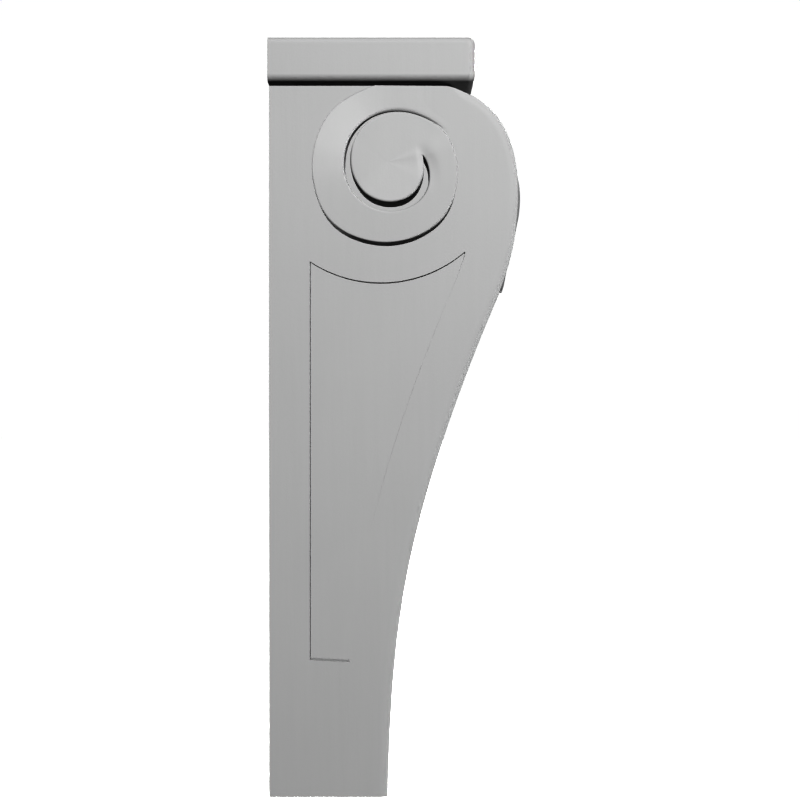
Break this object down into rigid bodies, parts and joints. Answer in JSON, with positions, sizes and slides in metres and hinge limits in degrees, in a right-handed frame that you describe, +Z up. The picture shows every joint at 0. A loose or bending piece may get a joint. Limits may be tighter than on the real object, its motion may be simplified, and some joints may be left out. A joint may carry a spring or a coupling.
{
  "type": "carved scroll bracket",
  "caption": "Tall carved corbel with a square top board, spiral side volutes, sunk side panels and an acanthus leaf over the front scroll.",
  "frame": {"origin": "middle of the flat back, half way up and on the plane of symmetry", "axes": "+Z up along the bracket's height, +Y into the wall that it is fixed to, so it stands out towards -Y, and X across its width"},
  "size_m": [0.106, 0.138, 0.4],
  "materials": {
    "painted_wood": "satin grey paint over fine-grained carved wood"
  },
  "bodies": {
    "root": {"top_board": "painted_wood", "scroll_body": "painted_wood"}
  },
  "joints": []
}
